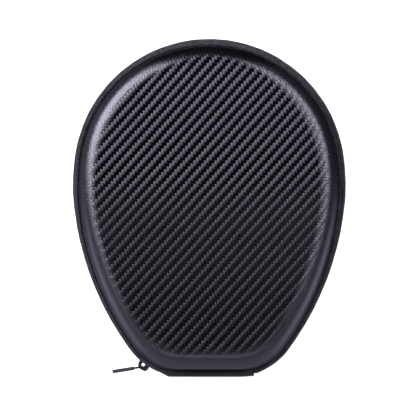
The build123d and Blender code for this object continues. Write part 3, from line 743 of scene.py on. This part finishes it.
# ------------------------------------------------------------------ the shells
T_TAPE0 = rim_t(-71.6)
T_TAPE1 = RIM - T_TAPE0
LID, BASE = 1, -1
for side, tag, body in ((LID, "lid", "lid"), (BASE, "base", "base")):
    skin = cover(f"{tag}_cover", side, 0.70 if side == LID else 0.45)
    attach(skin, body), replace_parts(skin, f"{tag}_skin"), skin
    foam = foam_shell(f"{tag}_foam_shell", side, 0.70 if side == LID else 0.45)
    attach(foam, body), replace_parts(foam, f"{tag}_shell"), foam

    lin = lining(f"{tag}_lining_knit", side)
    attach(lin, body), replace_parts(lin, f"{tag}_lining"), lin

    # ribbon over the cut edge
    b, top_s = 0.7, 15.0
    prof = [(-4.85, RIM_S - b + 0.1), (-4.72, RIM_S - 0.35), (-4.85, RIM_S - 0.03)]
    prof += [tuple(p) for p in dense([(wall(RIM_S, PLY) + 0.1, RIM_S - 0.03), (wall(top_s, PLY), top_s - 0.25)], 1.2)]
    prof += [(wall(top_s, PLY + b / 2), top_s), (wall(top_s, PLY + b), top_s - 0.25)]
    prof += [tuple(p) for p in dense([(wall(top_s - 0.5, PLY + b), top_s - 0.5), (wall(RIM_S, PLY + b), RIM_S + 0.1)], 1.2)]
    prof += [(wall(RIM_S - 0.35, PLY + b) + 0.12, RIM_S - 0.4), (wall(RIM_S - b, PLY + b) + 0.5, RIM_S - b), (-7.5, RIM_S - b), (-5.1, RIM_S - b)]
    ts = np.linspace(0, RIM, 420, endpoint=False)
    ribbon = sweep(f"{tag}_binding_ribbon", ts, prof, side, MAT["ribbon"], closed=True)
    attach(ribbon, body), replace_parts(ribbon, f"{tag}_edge_binding"), ribbon
    tt = np.arange(1.5, RIM, 3.1)
    P, U = rim(tt)
    T = np.column_stack([-U[:, 1], U[:, 0], np.zeros(len(tt))])
    inward = np.column_stack([-U, np.zeros(len(tt))])
    c = place(tt, np.full(len(tt), wall(13.6, PLY + b) - 0.10), np.full(len(tt), 13.6), side)
    st = capsules(f"{tag}_binding_stitches", c, T, inward, 2.4, 0.26, MAT["thread"])
    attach(st, body), st

    # zip tape: out from under the cover, over the bead, and in behind the coil
    prof = [(-7.3, 7.0), (-5.7, 6.96), (-4.95, 6.90), (-4.4, 6.82)]
    q = np.radians(np.linspace(176, 4, 900))
    over = np.column_stack([BEAD_N + np.where(np.cos(q) < 0, 1.78, 2.2) * np.sign(np.cos(q)) * np.abs(np.cos(q)) ** 0.74,
                            BEAD_S + 2.2 * np.sin(q) ** 0.74])
    run = np.concatenate([[0], np.cumsum(np.linalg.norm(np.diff(over, axis=0), axis=1))])
    prof += [tuple(float(np.interp(d, run, over[:, c])) for c in (0, 1)) for d in np.linspace(0, run[-1], 44)]
    prof += arc_pts((BEAD_N, BEAD_S), 2.2, 0, -84, 12)
    prof += [(-2.6, 4.5), (-3.3, 4.42), (-3.75, 4.15), (-3.9, 3.6), (-3.92, 2.4), (-3.92, 0.85), (-4.3, 0.78), (-4.68, 0.85),
             (-4.68, 2.4), (-4.68, 3.6), (-4.66, 5.1), (-3.6, 5.22), (-2.4, 5.25)]
    prof += arc_pts((BEAD_N, BEAD_S), 1.45, -86, 150, 12)
    prof += [(-3.7, 6.7), (-4.6, 6.42), (-7.3, 6.44)]
    ts = np.linspace(T_TAPE0, T_TAPE1, 820)

    def tape_wobble(t, k, side=side, prof=np.array(prof)):
        wave = 0.05 * np.sin(t * 0.21 + side) + 0.035 * np.sin(t * 0.53 + 1.3 * side)
        arc = (k >= 4) & (k <= 59)
        P, U = rim(t)
        where = smooth(U[:, 1], -0.25, -0.05) * smooth(-U[:, 1], -0.72, -0.5) * (U[:, 0] > 0)
        n, s = prof[k, 0], prof[k, 1]
        dip = 0.9 * where * np.exp(-((n + 2.2) / 0.38) ** 2) * (s > BEAD_S)
        a, b = smooth(U[:, 1], 0.55, 0.9), smooth(U[:, 0], 0.2, 0.6) * smooth(U[:, 1], 0.35, 0.6)
        dip = dip + 0.22 * np.maximum(a, b) * np.exp(-((n + 1.9) / 0.75) ** 2) * (s > BEAD_S)
        out = np.clip(-n / 3.9, 0, 1) * (s > 6.3) * sit(U)
        return np.where(arc, wave, 0.0) + out, np.where(arc, 0.5 * wave - dip, 0.0)
    tape = sweep(f"{tag}_tape_weave", ts, prof, side, MAT["tape"], wobble=tape_wobble)
    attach(tape, body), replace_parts(tape, f"{tag}_zip_tape"), tape

    # stitches in the groove between cover and tape
    tt = np.arange(T_TAPE0 + 2, T_TAPE1 - 1, 3.3)
    P, U = rim(tt)
    T = np.column_stack([-U[:, 1], U[:, 0], np.zeros(len(tt))])
    up = np.tile([0.0, 0.0, float(side)], (len(tt), 1))
    c = place(tt, -4.42 + sit(U), np.full(len(tt), 7.02), side)
    st = capsules(f"{tag}_groove_stitches", c, T, up, 2.7, 0.2, MAT["thread"], squash=0.9)
    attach(st, body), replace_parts(st, f"{tag}_seam_thread"), st

    # nylon coil, its loops offset by half a pitch from the other side's
    pitch, k = 1.45, 12
    t0, t1 = rim_t(-60.7), RIM - rim_t(-60.7)
    turns = int((t1 - t0) / pitch)
    tau = np.arange(turns * k) / k
    ph = 2 * np.pi * tau
    t = t0 + tau * pitch + (pitch / 2 if side == BASE else 0.0)
    n = -2.75 + 0.70 * np.cos(ph)
    s = 1.28 - 1.55 * np.sin(ph)
    line = place(t, n, s, side)
    d = np.gradient(line, axis=0)
    d /= np.linalg.norm(d, axis=1)[:, None]
    P, U = rim(t)
    T = np.column_stack([-U[:, 1], U[:, 0], np.zeros(len(t))])
    e1 = np.cross(d, T)
    e1 /= np.linalg.norm(e1, axis=1)[:, None]
    e2 = np.cross(d, e1)
    ang = np.linspace(0, 2 * np.pi, 6, endpoint=False)
    head = 1 + 0.22 * np.clip(np.sin(ph), 0, 1) ** 4
    V = line[:, None] + 0.30 * head[:, None, None] * (np.cos(ang)[None, :, None] * e1[:, None] + np.sin(ang)[None, :, None] * e2[:, None])
    V = V.reshape(-1, 3)
    F = [tuple(f) for f in grid_faces(len(t), 6, close_cols=True, flip=False)]
    F += [tuple(range(6)), tuple(range(len(V) - 6, len(V)))[::-1]]
    coil = mesh(f"{tag}_coil_loops", V, F, MAT["nylon"])
    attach(coil, body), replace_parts(coil, f"{tag}_zip_coil"), coil

# ------------------------------------------------------------------ fabric hinge
HX = rim_t(-90 + math.degrees(math.asin((34.4 - CORNER_C[0]) / R_CORNER)))
hs = np.linspace(-HX, HX, 130)


def hinge_profile():
    r_out = 2.30
    up = arc_pts((BEAD_N, BEAD_S), r_out, 151, 0, 20)
    mid = [(0.06, s) for s in np.linspace(6.1, -6.1, 22)]
    low = arc_pts((BEAD_N, -BEAD_S), r_out, 0, -151, 20)
    inner_low = arc_pts((BEAD_N, -BEAD_S), 1.46, -145, 0, 12)
    mid2 = [(-0.74, s) for s in np.linspace(-6.0, -1.0, 8)] + [(-0.46, s) for s in np.linspace(0.2, 6.0, 8)]
    inner_up = arc_pts((BEAD_N, BEAD_S), 1.74, 0, 146, 12)
    return up + mid + low + inner_low + mid2 + inner_up


def hinge_mesh(name, ts, prof, mat, wobble=None):
    ob = sweep(name, ts, prof, LID, mat, wobble=wobble)
    return ob


def strip_wobble(t, k):
    """The cloth runs straight past the ends of the flat edge, and turns in to the corners over its last 6 mm; on the
    right it stands off, cut square, to 3 mm from its end."""
    n = np.array(hinge_profile())[k, 0]
    past = np.clip(np.abs(t) - CORNER_C[0], 0, None)
    turn = np.where(t < 0, smooth(np.abs(t), HX - 6.5, HX - 0.3), smooth(t, HX - 3.2, HX - 2.7)) * 0.92
    bulge = np.minimum(past ** 2 / (2 * R_CORNER), 1.05 + 1.1 * (t > 0)) * (1 - turn) - 0.45 * smooth(t, 22.0, 31.0)
    ripple = 0.05 * np.sin(t * 0.33 + 0.4 * k) * np.sin(np.pi * np.clip((k - 20) / 22, 0, 1))
    return ripple + bulge * np.clip((n + 4.2) / 3.6, 0, 1), 0 * t


outer = hinge_mesh("hinge_cloth_outer", hs, hinge_profile(), MAT["hinge"], strip_wobble)
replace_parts(outer, "hinge_outer_strip"), outer
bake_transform(outer)

prof = [(-10.0, 4.25)] + [(n, 4.25) for n in np.linspace(-9.0, -1.6, 6)] + [(-1.2, 4.1)]
prof += [(-1.15, s) for s in np.linspace(3.8, -4.2, 16)] + [(-1.2, -4.55)]
prof += [(n, -4.58) for n in np.linspace(-1.6, -9.9, 6)] + [(-10.0, -4.35), (-9.9, -4.12)]
prof += [(n, -4.12) for n in np.linspace(-9.0, -1.9, 5)] + [(-1.65, -3.9)]
prof += [(-1.63, s) for s in np.linspace(-3.6, 3.4, 14)] + [(-1.8, 3.75)] + [(n, 3.78) for n in np.linspace(-2.4, -9.8, 6)]
inner = hinge_mesh("hinge_cloth_inner", np.linspace(-HX + 0.6, HX - 0.6, 80), prof, MAT["hinge"])
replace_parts(inner, "hinge_inner_strip"), inner
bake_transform(inner)

for side, tag in ((LID, "lid"), (BASE, "base")):
    tt = np.arange(-HX + 3.0, HX - 2.0, 3.3)
    P, U = rim(tt)
    T = np.column_stack([-U[:, 1], U[:, 0], np.zeros(len(tt))])
    up = np.tile([0.0, 0.0, float(side)], (len(tt), 1))
    c = place(tt, np.full(len(tt), -2.55), np.full(len(tt), 9.18), side)
    st = capsules(f"{tag}_hinge_stitches", c, T, up, 2.5, 0.26, MAT["thread"])
    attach(st, tag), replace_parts(st, f"{tag}_hinge_thread"), st

# ------------------------------------------------------------------ pocket inside the lid
FLOOR = 2 * SEAM - PLY
POCKET_N, POCKET_Y, RISE = -21.0, 18.0, 6.7
dense_t = np.linspace(0, RIM, 1400, endpoint=False)
DP, DU = rim(dense_t)


def inside(xy):
    """Distance inside the outline, in mm."""
    out = np.zeros(len(xy))
    for i in range(0, len(xy), 2000):
        out[i:i + 2000] = np.sqrt(((xy[i:i + 2000, None] - DP[None]) ** 2).sum(2)).min(1)
    return out


def pocket_h(xy):
    d = np.clip((inside(xy) + POCKET_N) / 7.5, 0, 1)
    return RISE * np.sin(d * np.pi / 2) + 0.15


a = 1.75                                                     # side of a cell of the net
hexes, index, pts = [], {}, []
dx, dy = a * math.sqrt(3), a * 1.5
for r in range(int(-105 / dy), int(16 / dy) + 1):
    for q in range(int(-85 / dx), int(85 / dx) + 1):
        cx, cy = (q + 0.5 * (r % 2)) * dx, r * dy
        hexes.append([(cx + a * math.cos(math.radians(60 * k + 30)), cy + a * math.sin(math.radians(60 * k + 30))) for k in range(6)])
H = np.array(hexes)
keep = (inside(H.reshape(-1, 2)).reshape(-1, 6).min(1) > -POCKET_N - 0.2) & (H[:, :, 1].max(1) < 15.6)
# only cells whose middle lies within the outline
mid_in = inside(H.mean(1)) > -POCKET_N
ctr = H.mean(1)
egg = ((ctr[:, 0] / 80.0) ** 2 < 1)
keep &= mid_in & egg & (ctr[:, 1] > FOOT_Y + 15)
for hx in H[keep]:
    f = []
    for p in hx:
        key = (round(p[0] * 20), round(p[1] * 20))
        if key not in index:
            index[key] = len(pts)
            pts.append(p)
        f.append(index[key])
    hexes_f = f
    pts_f = None
    index.setdefault("faces", []).append(f)
faces = index.pop("faces")
XY = np.array(pts)
V = np.column_stack([XY, FLOOR - pocket_h(XY)])
net = mesh("pocket_net", V, faces, MAT["net"])
w = net.modifiers.new("yarn", "WIREFRAME")
w.thickness, w.use_even_offset, w.use_boundary, w.use_replace, w.offset = 0.00052, False, True, True, 0.0
dg = bpy.context.evaluated_depsgraph_get()
yarn = bpy.data.meshes.new_from_object(net.evaluated_get(dg))
net.modifiers.clear()
net.data = yarn
for p in net.data.polygons:
    p.use_smooth = False
if not net.data.materials:
    net.data.materials.append(MAT["net"])
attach(net, "lid"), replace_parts(net, "pocket_mesh"), net
net_area = float(len(faces)) * 1.5 * math.sqrt(3) * a * a * 1e-6

# elastic along the mouth
xs = np.linspace(-76.2, 76.2, 230)
z_up = FLOOR - pocket_h(np.column_stack([xs, np.full(len(xs), 16.0)])) - 0.05
ruff = 0.22 * np.sin(xs * 1.15) + 0.12 * np.sin(xs * 2.31 + 1)
ring = [(1.9 * math.cos(q) * (1 if abs(math.cos(q)) < 0.9 else 0.98), 0.62 * math.sin(q)) for q in np.linspace(0, 2 * np.pi, 20, endpoint=False)]
ring = [(math.copysign(abs(math.cos(q)) ** 0.4, math.cos(q)) * 1.95, math.copysign(abs(math.sin(q)) ** 0.6, math.sin(q)) * 0.62) for q in np.linspace(0, 2 * np.pi, 20, endpoint=False)]
V = np.array([(x, 16.0 + p[0], z + r * (0.5 + 0.5 * p[0] / 2) + p[1]) for x, z, r in zip(xs, z_up, ruff) for p in ring])
F = [tuple(f) for f in grid_faces(len(xs), len(ring), close_cols=True, flip=True)]
F += [tuple(range(len(ring))), tuple(range(len(V) - len(ring), len(V)))[::-1]]
across = np.tile(np.linspace(0, 9, len(ring)), len(xs))
band = mesh("pocket_elastic_band", V, F, MAT["elastic"], attrs={"along": np.repeat(xs, len(ring)), "across": across})
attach(band, "lid"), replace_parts(band, "pocket_elastic"), band

# ribbon round the pocket
tP, tU = rim(dense_t)
ok = (tP + tU * -18.6)[:, 1] < 20.5
t_hi = dense_t[(dense_t < RIM / 2) & ok].max()
ts = np.linspace(-t_hi, t_hi, 320)
s_f = HALF - PLY
prof = [(-20.4, s_f - 0.1), (-20.45, s_f - 0.5), (-20.3, s_f - 0.85), (-19.4, s_f - 0.9), (-18.4, s_f - 0.9), (-17.4, s_f - 0.88), (-17.05, s_f - 0.6), (-17.0, s_f - 0.1)]
rib = sweep("pocket_ribbon", ts, prof, LID, MAT["ribbon"])
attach(rib, "lid"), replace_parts(rib, "pocket_binding"), rib
tt = np.arange(-t_hi + 2, t_hi - 2, 3.1)
P, U = rim(tt)
T = np.column_stack([-U[:, 1], U[:, 0], np.zeros(len(tt))])
c = place(tt, np.full(len(tt), -19.4), np.full(len(tt), s_f - 0.98), LID)
st = capsules("pocket_stitches", c, T, np.tile([0.0, 0.0, -1.0], (len(tt), 1)), 2.3, 0.25, MAT["thread"])
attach(st, "lid"), st

# ------------------------------------------------------------------ web of the slider's bridge, round the pull's eye
AT = pol(233.9)
BACK = pol(143.9)
EDGE = LC + AT * R_CORNER
curve = bpy.data.curves.new("web_outline", "CURVE")
curve.dimensions, curve.fill_mode = "2D", "BOTH"
outer_pts = [(4.35, -0.7), (4.15, 1.1), (3.5, 2.75), (2.3, 4.1), (0.9, 4.8), (-0.7, 4.85), (-2.1, 4.45), (-3.3, 3.5), (-4.0, 2.1), (-4.1, 0.6), (-4.1, -0.7)]
eye_pts = [(0.4 + 1.15 * math.cos(q), 1.15 + 1.6 * math.sin(q)) for q in np.linspace(0, 2 * np.pi, 28, endpoint=False)]
for loop in (outer_pts, eye_pts):
    sp = curve.splines.new("POLY")
    sp.points.add(len(loop) - 1)
    for p, (x, y) in zip(sp.points, loop):
        p.co = (x, y, 0.0, 1.0)
    sp.use_cyclic_u = True
curve.extrude, curve.bevel_depth, curve.bevel_resolution, curve.offset = 0.85, 0.28, 3, -0.28
tmp = bpy.data.objects.new("web_outline", curve)
bpy.context.scene.collection.objects.link(tmp)
flat_web = bpy.data.meshes.new_from_object(tmp.evaluated_get(bpy.context.evaluated_depsgraph_get()))
bpy.data.objects.remove(tmp)
W = np.array([v.co[:] for v in flat_web.vertices])
V = np.column_stack([EDGE + W[:, :1] * BACK + W[:, 1:2] * AT, SEAM + W[:, 2]])
web = mesh("slider_bridge_web", V, [tuple(p.vertices)[::-1] for p in flat_web.polygons], MAT["metal"], sharp=35)
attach(web, "slider"), web

# ------------------------------------------------------------------ CAD nodes that stay, with better materials
for node, key in (("slider_body", "metal"), ("pull_loop", "metal"),
                  ("pull_grip", "rubber"), ("lid_zip_stop", "metal"), ("base_zip_stop", "metal"), ("zip_bottom_stop", "metal")):
    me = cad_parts[node].data
    me.materials.clear()
    me.materials.append(MAT[key])

# ------------------------------------------------------------------ floor, light, camera
def stage(name, verts, faces, glow, tones):
    """A pale floor or backdrop. It doesn't mirror in the gloss: what the cover reflects is set by the lights."""
    m = Nodes("pale_" + name)
    n = m.noise(m.obj(), 6.0, 2.0)
    col = m.ramp(n, [(0.3, (tones[0],) * 3), (0.7, (tones[1],) * 3)])
    m.set(Base_Color=col, Roughness=0.7, Specular_IOR_Level=0.2, Emission_Color=(1.0, 1.0, 1.0, 1.0), Emission_Strength=glow)
    ob = mesh(name, verts, faces, m.mat, smooth=False)
    ob.visible_glossy = False
    return ob


K = 9000.0
stage("floor", [(-K, -K, -0.02), (K, -K, -0.02), (K, K, -0.02), (-K, K, -0.02)], [(0, 1, 2, 3)], 0.66, (0.56, 0.60))
ring = [pol(a, 8000.0) for a in range(0, 360, 5)]
drop = stage("backdrop", [(*p, z) for z in (-0.5, 9000.0) for p in ring], grid_faces(2, 72, close_cols=True).tolist(), 0.82, (0.3, 0.32))
drop.visible_diffuse = drop.visible_shadow = drop.visible_transmission = False


def area(name, loc, target, size, power, color=(1, 1, 1)):
    li = bpy.data.lights.new(name, "AREA")
    li.shape, li.size, li.size_y, li.energy, li.color = "RECTANGLE", size[0], size[1], power, color
    ob = bpy.data.objects.new(name, li)
    bpy.context.scene.collection.objects.link(ob)
    ob.location = loc
    ob.rotation_euler = (Vector(target) - Vector(loc)).to_track_quat("-Z", "Y").to_euler()
    return ob


TINT = (0.93, 0.905, 1.0)
area("key_upper_left", (-0.61, 0.42, 0.73), (0, 0.02, 0.03), (0.8, 1.0), 24.0, TINT)
area("fill_right", (0.37, 0.25, 0.86), (0, 0.02, 0.03), (0.6, 0.55), 6.6, TINT)
area("low_front", (0.0, -1.3, 0.72), (0, 0, 0.03), (3.2, 1.1), 7.5, TINT)
soft = area("overhead_fill", (0.1, -0.8, 2.1), (0, 0, 0), (2.4, 2.4), 32.0, TINT)
soft.visible_glossy = False                              # fills the shadows without a glare on the face

# surroundings: dark, but for the pale table's sheen low in front, on the left and towards the two lower flanks
world = bpy.data.worlds.new("studio")
bpy.context.scene.world = world
world.use_nodes = True
w = Nodes.__new__(Nodes)
w.t = world.node_tree
d = w.split(w.t.nodes.new("ShaderNodeTexCoord").outputs["Generated"])
flat_len = w.math("SQRT", w.math("ADD", w.math("MULTIPLY", d[0], d[0]), w.math("ADD", w.math("MULTIPLY", d[1], d[1]), 0.0001)))
front = w.remap(w.math("DIVIDE", d[1], flat_len), 0.05, -0.45, 0.0, 1.0)
left = w.remap(w.math("DIVIDE", d[0], flat_len), -0.6, -1.0, 0.0, 0.45)
down = w.math("POWER", w.math("ADD", w.math("MINIMUM", d[2], 0.0), 1.0, clamp=True), 0.6)
sheen = w.math("MULTIPLY", w.math("ADD", w.math("MULTIPLY", down, 0.62), 0.09), w.remap(d[2], 0.0, 0.25, 1.0, 0.0))
power = w.math("ADD", w.math("MULTIPLY", sheen, w.math("MAXIMUM", front, left)), 0.012)
fy = w.math("DIVIDE", d[1], flat_len)
flank = w.math("MINIMUM", w.remap(fy, -0.10, -0.28, 0.0, 1.0), w.remap(fy, -0.80, -0.50, 0.0, 1.0))
band = w.math("MINIMUM", w.remap(d[2], -0.88, -0.40, 0.0, 1.0), w.remap(d[2], 0.38, 0.10, 0.0, 1.0))
power = w.math("ADD", power, w.math("MULTIPLY", w.math("MULTIPLY", flank, band), 0.95))
bg = world.node_tree.nodes["Background"]
bg.inputs[0].default_value = (0.86, 0.83, 1.10, 1)
w.put(bg, "Strength", power)

sc = bpy.context.scene
sc.view_settings.view_transform = "Standard"
sc.view_settings.look = "None"

cam = bpy.data.cameras.new("camera")
cam_ob = bpy.data.objects.new("camera", cam)
sc.collection.objects.link(cam_ob)
DIST = 1.8
PX = 0.713 * MM
cam.sensor_width = 36.0
cam.lens = 36.0 * DIST / (416 * PX)
cam.clip_end = 50.0
cam_ob.location = (-1.25 * PX, -0.30 * PX, SEAM * MM + DIST)
cam_ob.rotation_euler = (0, 0, 0)
sc.camera = cam_ob
